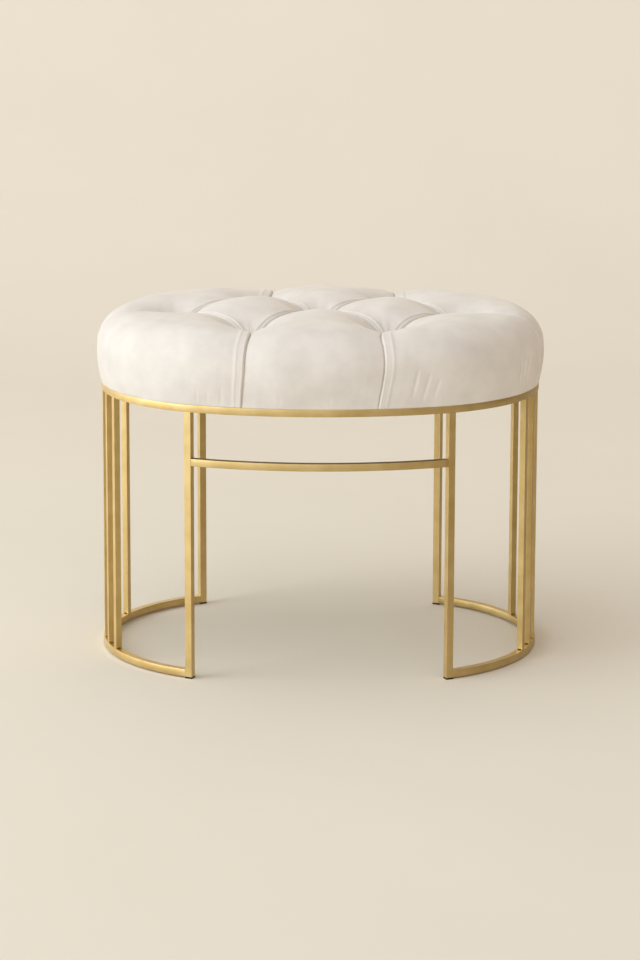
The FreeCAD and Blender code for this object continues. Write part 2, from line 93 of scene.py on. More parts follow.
# %% [markdown]
# ## The oval
# Seen from above the stool isn't an ellipse. It is the oval that a tube bender makes: two tight
# arcs at the ends and two long arcs at the sides, which meet without a corner. Four circles give
# the exact distance from any point to the outline, and the cushion needs that distance often.

# %% The oval of the ring
RING_LOW, RING_HIGH = (np.array(corner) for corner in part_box("seat_ring"))
HALF_WIDTH = (RING_HIGH[0] - RING_LOW[0]) / 2
HALF_DEPTH = (RING_HIGH[1] - RING_LOW[1]) / 2
RING_TOP = RING_HIGH[2]
# An end arc runs this far to both sides of the long axis before the side arc takes over.
MEETING = math.radians(71.3)
ARC_STEP = (HALF_WIDTH - HALF_DEPTH) / (math.cos(MEETING) + math.sin(MEETING) - 1)
END_CENTRE = ARC_STEP * math.cos(MEETING)
SIDE_CENTRE = ARC_STEP * math.sin(MEETING)
END_RADIUS = HALF_WIDTH - END_CENTRE
SIDE_RADIUS = END_RADIUS + ARC_STEP


def from_outline(x, y):
    """Distance outside the ring's outline (minus is inside) and the outward direction there."""
    across, along = np.abs(x), np.abs(y)
    at_end = across - END_CENTRE > along * END_CENTRE / SIDE_CENTRE
    to_x = np.where(at_end, across - END_CENTRE, across)
    to_y = np.where(at_end, along, along + SIDE_CENTRE)
    reach = np.hypot(to_x, to_y) + 1e-12
    offset = reach - np.where(at_end, END_RADIUS, SIDE_RADIUS)
    return offset, np.sign(x) * to_x / reach, np.where(y < 0, -1, 1) * to_y / reach


def on_outline(angle):
    """The outline's point and outward direction where that direction has this angle."""
    out_x, out_y = np.cos(angle), np.sin(angle)
    at_end = np.arctan2(np.abs(out_y), np.abs(out_x)) < MEETING
    x = np.where(at_end, np.sign(out_x) * END_CENTRE + END_RADIUS * out_x, SIDE_RADIUS * out_x)
    y = np.where(at_end, END_RADIUS * out_y, SIDE_RADIUS * out_y - np.sign(out_y) * SIDE_CENTRE)
    return x, y, out_x, out_y


print(f"oval {2 * HALF_WIDTH:.3f} x {2 * HALF_DEPTH:.3f} m, side radius {SIDE_RADIUS:.3f} m")

# %% [markdown]
# ## The cushion before tufting
# An upholsterer pulls a velvet cover over foam and staples it under a board. The side leans out
# a little over the ring, turns over a soft shoulder and ends in a gently crowned top.
# The cover is drawn flat first, as one disc: inside the ring's outline a point of the disc is a
# point of the top, and further out it runs over the shoulder, down the side and under the board.

# %% Profile of the side
SIDE_BELLY = 7.5 * MM  # how far the side leans out over the ring
BELLY_HEIGHT = 42 * MM  # where it leans out most, above the ring
SHOULDER_FOOT = 51 * MM  # where the shoulder begins, above the ring
SHOULDER = 44 * MM  # radius of the shoulder
CROWN_RISE = 9 * MM  # how much the middle of the top stands above the shoulder
CROWN_RUN = 160 * MM  # over how wide a border it rises
TURN_UNDER = 18 * MM  # how far the cover is turned in under the board
UNDER_TURN = 6 * MM  # over how much cloth it turns from the side to the underside
TOP_EDGE = SIDE_BELLY - SHOULDER
SHOULDER_END = TOP_EDGE + SHOULDER * math.pi / 2
FOOT = SHOULDER_END + SHOULDER_FOOT
DISC_EDGE = FOOT + TURN_UNDER


def smooth(value):
    """0 below 0, 1 above 1 and an even S between."""
    value = np.clip(value, 0, 1)
    return value * value * (3 - 2 * value)


def plain_cushion(x, y):
    """Where the disc's points lie on the untufted cushion, and which way the surface faces."""
    offset, out_x, out_y = from_outline(x, y)
    turn = np.clip((offset - TOP_EDGE) / SHOULDER, 0, math.pi / 2)
    drop = np.clip(offset - SHOULDER_END, 0, SHOULDER_FOOT)
    height = SHOULDER_FOOT + SHOULDER * np.cos(turn) - drop
    crown = CROWN_RISE * smooth((TOP_EDGE - offset) / CROWN_RUN)
    height = height + np.where(offset < TOP_EDGE, crown, 0)
    low = np.clip(height / BELLY_HEIGHT, 0, 1)
    outset = np.where(offset > SHOULDER_END, SIDE_BELLY * np.sin(low * math.pi / 2), SIDE_BELLY)
    outset = outset - SHOULDER * (1 - np.sin(turn)) - np.clip(offset - FOOT, 0, None)
    outset = np.where(offset < TOP_EDGE, offset, outset)
    step = outset - offset
    place = np.stack([x + out_x * step, y + out_y * step, RING_TOP + height], axis=-1)
    under = smooth((offset - FOOT) / UNDER_TURN)
    level = np.sin(turn) * (1 - under)
    facing = np.stack([out_x * level, out_y * level, np.cos(turn) - under], axis=-1)
    return place, facing / np.linalg.norm(facing, axis=-1, keepdims=True), offset


print(f"disc reaches {DISC_EDGE:.3f} m past the outline")

# %% [markdown]
# ## Tufts, pleats and panels
# Seven buttons are pulled down through the foam with twine. Between them the spare velvet is
# folded into pleats, and from the outer buttons a pleat runs down the side to the board.
# What is left between the pleats swells into panels. Every one of these is a small hill or
# valley in the distance to a point or a line, so the whole surface stays one formula.

# %% Where the buttons are
# Places in millimetres from the middle of the seat. They were sewn a little out of true: the
# middle row lies towards the left and the back row towards the right.
TUFTS = {
    "left": (-192, 0),
    "middle": (-4, 0),
    "right": (178, -5),
    "front_left": (-90, -100),
    "front_right": (88, -105),
    "back_left": (-76, 96),
    "back_right": (104, 92),
}
TUFTS = {name: np.array(place) * MM for name, place in TUFTS.items()}
BUTTON_RADIUS = 9 * MM
BUTTON_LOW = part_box("tuft_buttons")[0]
BUTTON_SEAT = BUTTON_LOW[2] - RING_TOP - 0.4 * MM
print(f"buttons: {len(TUFTS)}, seated {BUTTON_SEAT / MM:.1f} mm above the ring")

# %% Where the pleats are
# Each pair names a pleat from one button to the next; the last number says on which side its
# folded lip lies, seen along the pleat: 1 is left and -1 is right.
PLEATS = [
    ("left", "front_left", 1),
    ("middle", "front_left", -1),
    ("middle", "front_right", 1),
    ("right", "front_right", -1),
    ("back_left", "middle", 1),
    ("back_right", "middle", -1),
    ("left", "back_left", 1),
    ("right", "back_right", -1),
]
# An edge pleat leaves its button and reaches the shoulder and the foot where the outward
# direction has these angles, in degrees; the last number is its lip's side again.
EDGE_PLEATS = [
    ("front_left", 258.4, 257.8, -1),
    ("front_right", 280.0, 279.0, 1),
    ("back_left", 98.5, 99.5, 1),
    ("back_right", 76.5, 77.0, -1),
    ("left", 180.5, 179.0, 1),
    ("right", 351.0, 351.0, 1),
]


def resampled(route, spacing=4 * MM):
    """A smooth line through the route's points, with even steps."""
    points = np.array(route)
    for _ in range(3):
        cut = [points[0]]
        for a, b in zip(points[:-1], points[1:]):
            cut += [a * 0.75 + b * 0.25, a * 0.25 + b * 0.75]
        points = np.array(cut + [points[-1]])
    lengths = lengths_along(points)
    stations = np.linspace(0, lengths[-1], max(8, int(lengths[-1] / spacing)))
    return np.stack([np.interp(stations, lengths, points[:, i]) for i in (0, 1)], axis=1)


def lengths_along(line):
    """The length of a line up to each of its points."""
    return np.r_[0, np.cumsum(np.linalg.norm(np.diff(line, axis=0), axis=1))]


def disc_point(angle, offset):
    """The disc's point that lies at an offset from the outline, in an outward direction in degrees."""
    x, y, out_x, out_y = on_outline(math.radians(angle))
    return np.array([float(x + out_x * offset), float(y + out_y * offset)])


def edge_route(button, shoulder_angle, foot_angle):
    """Points in the disc from a button over the shoulder to the edge under the board."""
    route = [TUFTS[button]]
    for offset, angle in (
        (TOP_EDGE, shoulder_angle),
        (0, shoulder_angle),
        (SHOULDER_END, shoulder_angle),
        ((SHOULDER_END + FOOT) / 2, (shoulder_angle + foot_angle) / 2),
        (FOOT, foot_angle),
        (DISC_EDGE, foot_angle),
    ):
        route.append(disc_point(angle, offset))
    return resampled(route)


INNER_LINES = [(resampled([TUFTS[a], (TUFTS[a] + TUFTS[b]) / 2, TUFTS[b]]), lip) for a, b, lip in PLEATS]
EDGE_LINES = [(edge_route(button, top, foot), lip) for button, top, foot, lip in EDGE_PLEATS]
print("pleats:", len(INNER_LINES), "edge pleats:", len(EDGE_LINES))

# %% [markdown]
# Where the cover is pulled down to its staples it drags, and short wrinkles stand on the side:
# a few deep ones at the right front, and faint ones near the foot on the left.

# %% Where the wrinkles are
# Outward direction and height above the ring at the top and at the bottom of each, in degrees
# and millimetres, and how deep it is.
DRAGS = [
    (285.1, 52, 284.2, 12, 0.9),
    (286.9, 46, 285.9, 8, 0.9),
    (288.5, 38, 287.7, 12, 0.7),
    (328.6, 54, 326.8, 14, 1.3),
    (325.8, 46, 324.6, 12, 0.9),
    (331.4, 48, 329.8, 18, 1.0),
    (250.4, 24, 250.2, 2, 0.4),
    (252.6, 20, 252.5, 2, 0.35),
    (254.9, 26, 254.6, 2, 0.4),
    (264.0, 22, 263.8, 2, 0.3),
    (271.5, 18, 271.6, 2, 0.3),
]


def wrinkle_line(top_angle, top, low_angle, low):
    """The line in the disc that a wrinkle on the side follows."""
    start = disc_point(top_angle, SHOULDER_END + SHOULDER_FOOT - top * MM)
    end = disc_point(low_angle, SHOULDER_END + SHOULDER_FOOT - low * MM)
    return np.linspace(start, end, 6)


WRINKLES = [(wrinkle_line(*drag[:4]), drag[4] * MM) for drag in DRAGS]
print("wrinkles:", len(WRINKLES))

# %% [markdown]
# ## How far a point is from a line
# The valleys, folds and wrinkles all ask the same of a point: how far is it from this line, on
# which side of it, and how far along? One function answers that, piece by piece of the line.

# %% Distance to a line
def beside(line, x, y):
    """Signed distance to a line (plus is left of it), how far along from 0 to 1, and its length."""
    best = np.full(x.shape, 1e9)
    signed, along = np.zeros(x.shape), np.zeros(x.shape)
    lengths = lengths_along(line)
    for i, (a, b) in enumerate(zip(line[:-1], line[1:])):
        run = b - a
        length = np.hypot(*run)
        share = np.clip(((x - a[0]) * run[0] + (y - a[1]) * run[1]) / length**2, 0, 1)
        gap_x, gap_y = x - a[0] - run[0] * share, y - a[1] - run[1] * share
        gap = np.hypot(gap_x, gap_y)
        nearer = gap < best
        side = np.sign(run[0] * gap_y - run[1] * gap_x)
        best = np.where(nearer, gap, best)
        signed = np.where(nearer, gap * side, signed)
        along = np.where(nearer, (lengths[i] + share * length) / lengths[-1], along)
    return signed, along, lengths[-1]


longest = max(lengths_along(line)[-1] for line, _ in EDGE_LINES)
print(f"longest edge pleat: {longest:.3f} m")

# %% [markdown]
# ## Folds
# A pleat has a crisp fold at its bottom: the upper panel's velvet is tucked under itself, so a
# rolled lip a few millimetres wide stands beside the crease, and a second, softer roll behind it.
# An edge pleat is pressed flat instead and shows as a band. The sizes are those of real folds.

# %% Lips and bands
LIP_WIDTH = 3.4 * MM
LIP_HEIGHT = 3.6 * MM
LIP_RISE = 1.2 * MM  # width of the steep front of the lip
LIP_RUN = 9 * MM  # how far its back slopes down into the panel
CREASE_WIDTH = 1.0 * MM
CREASE_DEPTH = 3.2 * MM
TUCK_WIDTH = 0.7 * MM
TUCK_DEPTH = 1.6 * MM
SECOND_WIDTH = 1.1 * MM
SECOND_HEIGHT = 1.5 * MM
SECOND_GAP = 1.8 * MM  # how far the second roll lies behind the tuck
OVERHANG = 0.3 * MM  # how far a lip stands out over its pleat's line
CREASE_BACK = 0.9 * MM  # how far the crease lies before that line
BAND_WIDTH = 17 * MM
BAND_HEIGHT = 1.3 * MM
BAND_RISE = 1 * MM
BAND_FALL = 6 * MM
BAND_CREASE = (-0.7 * MM, 0.9 * MM, 3 * MM)  # place, width and depth
BAND_LIP = (1.9 * MM, 1.1 * MM, 0.8 * MM)  # place, width and height
BAND_LINES = ((8.5 * MM, 1.2 * MM), (13.5 * MM, 1.6 * MM))  # place and width of each
LINE_DEPTH = 0.6 * MM


def ridge(distance, width):
    """A rounded ridge of height 1 along a line."""
    return np.exp(-((distance / width) ** 2))


def fold(signed, lip):
    """The crease, the lip that laps over it, the tuck behind that and a second roll."""
    across = signed * lip
    front = smooth((across + OVERHANG) / LIP_RISE)
    edge = LIP_HEIGHT * front * np.exp(-np.clip(across, 0, None) / LIP_RUN)
    crease = CREASE_DEPTH * ridge(across + CREASE_BACK, CREASE_WIDTH)
    tuck = TUCK_DEPTH * ridge(across - LIP_WIDTH, TUCK_WIDTH)
    second = SECOND_HEIGHT * ridge(across - LIP_WIDTH - SECOND_GAP, SECOND_WIDTH)
    return edge - crease - tuck + second


def band(signed, lip):
    """The flat fold of an edge pleat: a crease, a lip and a band with two soft lines."""
    across = signed * lip
    front = smooth((across + OVERHANG) / BAND_RISE)
    raised = BAND_HEIGHT * front * smooth((BAND_WIDTH - across) / BAND_FALL)
    crease = BAND_CREASE[2] * ridge(across - BAND_CREASE[0], BAND_CREASE[1])
    edge = BAND_LIP[2] * ridge(across - BAND_LIP[0], BAND_LIP[1])
    lines = LINE_DEPTH * sum(ridge(across - place, width) for place, width in BAND_LINES)
    return raised + edge - crease - lines


print(f"lip {LIP_HEIGHT / MM:.1f} mm high, band {BAND_WIDTH / MM:.0f} mm wide")

# %% [markdown]
# ## Valleys
# Under its fold each pleat lies in a valley: steep close to the line, then wide and shallow. It is
# deepest at its buttons. Edge pleats fade out on their way down the side, where faint ripples
# run along them.

# %% Valleys of the pleats
VALLEY_MID = 13 * MM  # depth halfway between two buttons
VALLEY_END = 30 * MM  # depth at a button
VALLEY_CLOSE = 13 * MM  # reach of the steep part
VALLEY_WIDE = 36 * MM  # reach of the shallow part
EDGE_VALLEY = 5 * MM  # depth of an edge pleat's valley on the side
EDGE_VALLEY_MORE = 22 * MM  # how much deeper it is at its button
EDGE_VALLEY_RUN = 40 * MM  # over how much of its length it grows shallow
STEEP_SHARE = 0.62  # how much of an inner valley is its steep part
EDGE_STEEP_SHARE = 0.6
FOLD_END = 0.12  # a fold dies out at a button over this share of half its length
SIDE_FADE = 0.8  # how much of an edge pleat's valley is gone low on the side
SIDE_RUN = 60 * MM
RIPPLE_HEIGHT = 0.45 * MM
RIPPLE_LENGTH = 15 * MM
RIPPLE_START = 14 * MM  # how far from the pleat the ripples begin
RIPPLE_REACH = 22 * MM


def valley(gap, depth, steep):
    """Depth of a valley at a distance from its line; steep is the share of its steep part."""
    return depth * (steep * np.exp(-gap / VALLEY_CLOSE) + (1 - steep) * ridge(gap, VALLEY_WIDE))


def inner_pleat(line, lip, x, y):
    """The valley and the fold of a pleat between two buttons."""
    signed, along, _ = beside(line, x, y)
    from_middle = np.abs(2 * along - 1)
    ends = from_middle**3
    depth = VALLEY_MID + (VALLEY_END - VALLEY_MID) * ends
    clear = smooth((1 - from_middle) / FOLD_END)
    strength = 0.75 + 0.5 * ends
    return valley(np.abs(signed), depth, STEEP_SHARE), fold(signed, lip) * clear * strength


def edge_pleat(line, lip, x, y, offset):
    """The valley and the folds of a pleat from a button over the side."""
    signed, along, length = beside(line, x, y)
    gap = np.abs(signed)
    depth = EDGE_VALLEY + EDGE_VALLEY_MORE * np.exp(-along * length / EDGE_VALLEY_RUN)
    fade = 1 - smooth((offset - SHOULDER_END) / SIDE_RUN) * SIDE_FADE
    clear = smooth(along * length / (14 * MM)) * (1 - smooth((offset - FOOT) / (8 * MM)))
    waves = np.cos(2 * math.pi * signed / RIPPLE_LENGTH + 4 * along)
    ripples = waves * np.exp(-gap / RIPPLE_REACH)
    on_side = smooth((gap - RIPPLE_START) / (8 * MM)) * smooth((offset - TOP_EDGE) / (30 * MM))
    folds = band(signed, lip) * clear + RIPPLE_HEIGHT * ripples * on_side
    return valley(gap, depth, EDGE_STEEP_SHARE) * fade, folds


print(f"valleys {VALLEY_MID / MM:.0f} to {VALLEY_END / MM:.0f} mm deep")

# %% [markdown]
# ## Round a button
# A button pulls a narrow pit into the foam and a wide scoop round that, and the velvet gathers
# towards it in fine rays. Away from the buttons the wadding is never quite even, so long, shallow
# waves run through the whole cushion. They are drawn by a seeded generator and are always the same.

# %% Pits, gathers and unevenness
PIT_DEPTH = 28 * MM
PIT_REACH = 13 * MM
SCOOP_DEPTH = 9 * MM
SCOOP_WIDTH = 48 * MM
GATHERS = 13
GATHER_HEIGHT = 1.1 * MM
GATHER_REACH = 15 * MM
WAVE_HEIGHT = 0.28 * MM
WAVE_LENGTHS = (150, 120, 95, 80, 70, 60)


def round_button(index, reach, angle):
    """The pit, the scoop and the gathers at a distance and direction from a button."""
    past = reach - BUTTON_RADIUS
    pit = PIT_DEPTH * np.exp(-np.clip(past, 0, None) / PIT_REACH)
    scoop = SCOOP_DEPTH * ridge(reach, SCOOP_WIDTH)
    rays = np.cos(GATHERS * angle + index) + 0.6 * np.cos((GATHERS + 4) * angle + 2.3 * index)
    near = smooth(past / (6 * MM)) * np.exp(-past / GATHER_REACH)
    return pit, scoop, GATHER_HEIGHT * rays * near * (past > 0)


def unevenness(x, y):
    """Long waves less than a millimetre high."""
    draw = np.random.default_rng(7)
    total = np.zeros(x.shape)
    for length in WAVE_LENGTHS:
        turn, start = draw.uniform(0, 2 * math.pi, 2)
        way = x * math.cos(turn) + y * math.sin(turn)
        total += WAVE_HEIGHT * np.cos(2 * math.pi * way / (length * MM) + start)
    return total


def wrinkle(line, depth, x, y):
    """A short groove with a soft roll on its left, which fades out at both ends."""
    signed, along, _ = beside(line, x, y)
    across = 0.6 * ridge(signed - 4 * MM, 3.2 * MM) - ridge(signed, 2.6 * MM)
    return depth * np.sin(math.pi * along) ** 0.7 * across


print("gathers round each button:", GATHERS)

# %% [markdown]
# ## The finished surface
# Where valleys meet, their depths don't simply add up: the cube root of the summed cubes lets the
# deepest one rule and rounds the place where they cross. A soft limit keeps the pits from sinking
# below their buttons, and right under a button the velvet lies flat at the button's own height.

# %% All together
PILLOW = 5 * MM  # how much the panels swell above the plain crown
DEEPEST = 42 * MM


def tufting(x, y, offset, height):
    """How far the tufted cover stands out from the plain cushion, whose height is given."""
    cubes = np.zeros(x.shape)
    folds = np.zeros(x.shape)
    scoops = np.zeros(x.shape)
    nearest = np.full(x.shape, 1e9)
    for line, lip in INNER_LINES:
        depth, creases = inner_pleat(line, lip, x, y)
        cubes += depth**3
        folds += creases
    for line, lip in EDGE_LINES:
        depth, creases = edge_pleat(line, lip, x, y, offset)
        cubes += depth**3
        folds += creases
    for index, (tuft_x, tuft_y) in enumerate(TUFTS.values()):
        reach = np.hypot(x - tuft_x, y - tuft_y)
        depth, scoop, gathers = round_button(index, reach, np.arctan2(y - tuft_y, x - tuft_x))
        cubes += depth**3
        scoops += scoop
        folds += gathers
        nearest = np.minimum(nearest, reach)
    for line, depth in WRINKLES:
        folds += wrinkle(line, depth, x, y)
    swell = PILLOW * smooth((-10 * MM - offset) / (60 * MM)) + unevenness(x, y)
    depth = scoops + np.cbrt(cubes) - swell
    held = depth / (1 + (np.clip(depth, 0, None) / DEEPEST) ** 6) ** (1 / 6)
    free = smooth((nearest - BUTTON_RADIUS + 0.5 * MM) / (6 * MM))
    return folds - held * free - (height - BUTTON_SEAT) * (1 - free)


def tufted_cover(x, y, inward=0.0):
    """Points of the finished cover, or of a layer that lies inward of it."""
    place, facing, offset = plain_cushion(x, y)
    stand = tufting(x, y, offset, place[:, 2] - RING_TOP) - inward
    keep = 1 - smooth((offset - FOOT + 4 * MM) / (6 * MM))
    return place + facing * (stand * keep - inward * (1 - keep))[:, None]


middle = tufted_cover(np.array([0.04]), np.array([-0.06]))[0]
print(f"a panel's top is {middle[2]:.3f} m above the floor")

# %% [markdown]
# ## Laying the mesh
# A regular grid fine enough for a 2 mm lip would need millions of faces. The disc is covered
# with points 4 mm apart instead, with rows of closer points along each pleat and rings of them
# round each button, and a Delaunay triangulation joins them without slivers.

# %% Points of the disc
GRID = 4 * MM
ROWS = np.array([0, 0.5, 1, 1.5, 2.1, 2.7, 3.4, 4, 4.7, 5.5, 6.6, 8]) * MM
BAND_ROWS = np.array([0, 0.6, 1.2, 2, 3, 4.2, 6, 7.6, 9, 10.4, 12, 14, 16, 18]) * MM
WRINKLE_ROWS = np.array([0, 1.2, 2.4, 3.6, 4.8]) * MM
FOOT_RINGS = FOOT + np.arange(-6, 7, 1.5) * MM
BUTTON_RINGS = np.arange(0, 27, 1.5) * MM


def beside_rows(line, rows, spacing=1.5 * MM):
    """Points in rows on both sides of a line."""
    lengths = lengths_along(line)
    stations = np.linspace(0, lengths[-1], int(lengths[-1] / spacing))
    centre = np.stack([np.interp(stations, lengths, line[:, i]) for i in (0, 1)], axis=1)
    run = np.gradient(centre, axis=0)
    left = np.stack([-run[:, 1], run[:, 0]], axis=1) / np.linalg.norm(run, axis=1)[:, None]
    return np.concatenate([centre + left * row for row in sorted({*rows, *-rows})])


def disc_points():
    """Every point of the flat disc: its edge first, then the rest."""
    around = np.linspace(0, 2 * math.pi, 720, endpoint=False)
    edge_x, edge_y, out_x, out_y = on_outline(around)
    edge = np.stack([edge_x + out_x * DISC_EDGE, edge_y + out_y * DISC_EDGE], axis=1)
    fine = [beside_rows(line, ROWS) for line, _ in INNER_LINES]
    fine += [beside_rows(line, BAND_ROWS) for line, _ in EDGE_LINES]
    fine += [beside_rows(line, WRINKLE_ROWS) for line, _ in WRINKLES]
    for tuft in TUFTS.values():
        for radius in BUTTON_RINGS:
            count = max(1, int(2 * math.pi * radius / (1.8 * MM)))
            turns = np.linspace(0, 2 * math.pi, count, endpoint=False)
            fine.append(tuft + radius * np.stack([np.cos(turns), np.sin(turns)], axis=1))
    for offset in FOOT_RINGS:
        x, y, out_x, out_y = on_outline(np.linspace(0, 2 * math.pi, 900, endpoint=False))
        fine.append(np.stack([x + out_x * offset, y + out_y * offset], axis=1))
    fine = np.concatenate(fine)
    half_x, half_y = HALF_WIDTH + DISC_EDGE, HALF_DEPTH + DISC_EDGE
    columns = np.arange(-half_x, half_x, GRID)
    lines = np.arange(-half_y, half_y, GRID * math.sqrt(3) / 2)
    grid_x, grid_y = np.meshgrid(columns, lines)
    grid_x = grid_x + np.where(np.arange(len(lines)) % 2, GRID / 2, 0)[:, None]
    coarse = np.stack([grid_x.ravel(), grid_y.ravel()], axis=1)
    return edge, inside_disc(fine), inside_disc(coarse)


print("rows beside a pleat:", 2 * len(ROWS) - 1, "and an edge pleat:", 2 * len(BAND_ROWS) - 1)

# %% [markdown]
# Rows that cross would put points almost on top of each other, and long thin triangles shade
# badly. So the close points are thinned to half a millimetre, and the coarse grid keeps clear of
# them. The triangles are joined in the flat disc, and only then lifted onto the cushion.

# %% Joining the points
PER_METRE = 1000  # the triangles are worked out in millimetres


def inside_disc(points):
    """The points that lie inside the disc's edge."""
    offset, _, _ = from_outline(points[:, 0], points[:, 1])
    return points[offset < DISC_EDGE - 1 * MM]


def thinned(points, cell):
    """One point for each cell of a fine grid, so that no two nearly meet."""
    keys = np.round(points / cell).astype(np.int64)
    _, first = np.unique(keys, axis=0, return_index=True)
    return points[np.sort(first)]


def away_from(points, others, gap):
    """The points that have none of the others in their own or a neighbouring cell."""
    taken = {tuple(key) for key in np.floor(others / gap).astype(int)}
    near = [(i, j) for i in (-1, 0, 1) for j in (-1, 0, 1)]
    keys = np.floor(points / gap).astype(int)
    free = [not any((a + i, b + j) in taken for i, j in near) for a, b in keys]
    return points[np.array(free)]


def triangulated(flat, loop):
    """The points and triangles of a flat region with its border edges."""
    in_mm = [Vector(point * PER_METRE) for point in flat]
    points, _, faces, *_ = geometry.delaunay_2d_cdt(in_mm, loop, [], 1, 1e-5)
    return np.array([(p.x, p.y) for p in points]) / PER_METRE, [tuple(face) for face in faces]


def new_piece(name, points, faces):
    """A smooth-shaded object from points and faces."""
    mesh = bpy.data.meshes.new(name)
    mesh.from_pydata(points, [], faces)
    mesh.validate()
    mesh.polygons.foreach_set("use_smooth", [True] * len(mesh.polygons))
    piece = bpy.data.objects.new(name, mesh)
    bpy.context.scene.collection.objects.link(piece)
    return piece


def cover_mesh(name, inward=0.0, coarse_only=False):
    """A closed mesh of the cover, or of a layer inward of it. One flat face closes its underside."""
    edge, fine, coarse = disc_points()
    if coarse_only:
        flat = np.concatenate([edge, coarse])
    else:
        fine = thinned(fine, 0.5 * MM)
        flat = np.concatenate([edge, fine, away_from(coarse, fine, 2.2 * MM)])
    loop = [(i, (i + 1) % len(edge)) for i in range(len(edge))]
    flat, faces = triangulated(flat, loop)
    solid = tufted_cover(flat[:, 0], flat[:, 1], inward)
    offset, _, _ = from_outline(flat[:, 0], flat[:, 1])
    around = np.argsort(np.arctan2(flat[:, 1], flat[:, 0]))
    rim = [int(i) for i in around if offset[i] > DISC_EDGE - 0.01 * MM]
    return new_piece(name, solid.tolist(), faces + [tuple(rim[::-1])])


cushion = cover_mesh("velvet_cover")
print("cover:", len(cushion.data.vertices), "points,", len(cushion.data.polygons), "faces")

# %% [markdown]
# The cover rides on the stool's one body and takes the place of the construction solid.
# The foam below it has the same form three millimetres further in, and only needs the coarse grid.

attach(cushion, BODY)
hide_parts("seat_cover")
print(cushion.name, "is padded")

# %% Foam
FOAM_GAP = 3 * MM
foam = cover_mesh("foam_block", inward=FOAM_GAP, coarse_only=True)
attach(foam, BODY)
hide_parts("foam_core")
print("foam:", len(foam.data.vertices), "points")

# %% [markdown]
# A covered button is a low dome with a rolled edge, cut here from a profile that is turned round
# its own axis. Each one sits at the bottom of its tuft and has the same velvet as the cover.

# %% Covered buttons
BUTTON_PROFILE = [(0, 5.4), (3, 5.2), (6, 4.3), (8, 2.9), (9, 1.4), (8.8, 0.4), (8, 0), (0, 0)]
BUTTON_STEPS = 32


def covered_button(name, centre):
    """A button turned from its profile, with its foot at a point."""
    points = []
    rings = []
    for radius, height in BUTTON_PROFILE:
        steps = BUTTON_STEPS if radius else 1
        rings.append([len(points) + i for i in range(steps)])
        for i in range(steps):
            angle = 2 * math.pi * i / steps
            x, y = radius * math.cos(angle) * MM, radius * math.sin(angle) * MM
            points.append(Vector((x, y, height * MM)) + Vector(centre))
    faces = []
    for upper, lower in zip(rings[:-1], rings[1:]):
        for i in range(BUTTON_STEPS):
            j = (i + 1) % BUTTON_STEPS
            corners = [upper[i % len(upper)], lower[i % len(lower)]]
            corners += [lower[j % len(lower)], upper[j % len(upper)]]
            faces.append(tuple(dict.fromkeys(corners)))
    return new_piece(name, points, faces)


buttons = [
    covered_button(f"button_{name}", (float(place[0]), float(place[1]), BUTTON_LOW[2]))
    for name, place in TUFTS.items()
]
for button in buttons:
    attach(button, BODY)
    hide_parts("tuft_buttons")
print("buttons:", len(buttons))

# %% [markdown]
# ## Velvet
# The cover is a matte ivory velvet. Its pile is too short to see as hairs, and shows as a soft
# glow at grazing angles, a very fine grain, and cloudy patches where the nap lies another way.

# %% Velvet
def make_velvet():
    """Ivory velvet: a sheen at grazing angles, patches of nap and a fine pile."""
    material, tree, shader = new_material("ivory_cotton_velvet")
    shader.inputs["Roughness"].default_value = 0.9
    shader.inputs["Sheen Weight"].default_value = 0.35
    shader.inputs["Sheen Roughness"].default_value = 0.45
    shader.inputs["Sheen Tint"].default_value = linear("#FFF9EE")
    shader.inputs["Specular IOR Level"].default_value = 0.25
    where = add_node(tree, "ShaderNodeTexCoord")
    # Nap patches are thumb-sized, about 30 mm across, with finer ones inside them.
    nap = add_node(
        tree, "ShaderNodeTexNoise", {"Vector": where.outputs["Object"], "Scale": 1 / 0.03, "Detail": 6.0}
    )
    # The pile's own grain is 0.3 mm; it is drawn at 1 mm, so that it shows from across a room.
    pile = add_node(
        tree, "ShaderNodeTexNoise", {"Vector": where.outputs["Object"], "Scale": 1 / 0.001, "Detail": 2.0}
    )
    tone = add_node(tree, "ShaderNodeValToRGB", {"Fac": nap.outputs["Fac"]})
    tone.color_ramp.elements[0].position, tone.color_ramp.elements[1].position = 0.3, 0.7
    tone.color_ramp.elements[0].color = linear("#DDDBD6")
    tone.color_ramp.elements[1].color = linear("#E8E6E1")
    grain = add_node(
        tree,
        "ShaderNodeMix",
        {"Factor": 0.05, 6: tone.outputs["Color"], 7: pile.outputs["Color"]},
        data_type="RGBA",
        blend_type="OVERLAY",
    )
    tree.links.new(grain.outputs[2], shader.inputs["Base Color"])
    bump = add_node(
        tree, "ShaderNodeBump", {"Height": pile.outputs["Fac"], "Strength": 0.25, "Distance": 0.0004}
    )
    tree.links.new(bump.outputs["Normal"], shader.inputs["Normal"])
    return material


velvet = make_velvet()
for piece in [cushion, *buttons]:
    piece.data.materials.append(velvet)
print("velvet on", 1 + len(buttons), "pieces")

# %% [markdown]
# ## Satin brass
# The tube is steel with a brushed brass plating under clear lacquer: a metal, so its colour is
# in its reflection. Fine brushing along the tube blurs what it reflects.

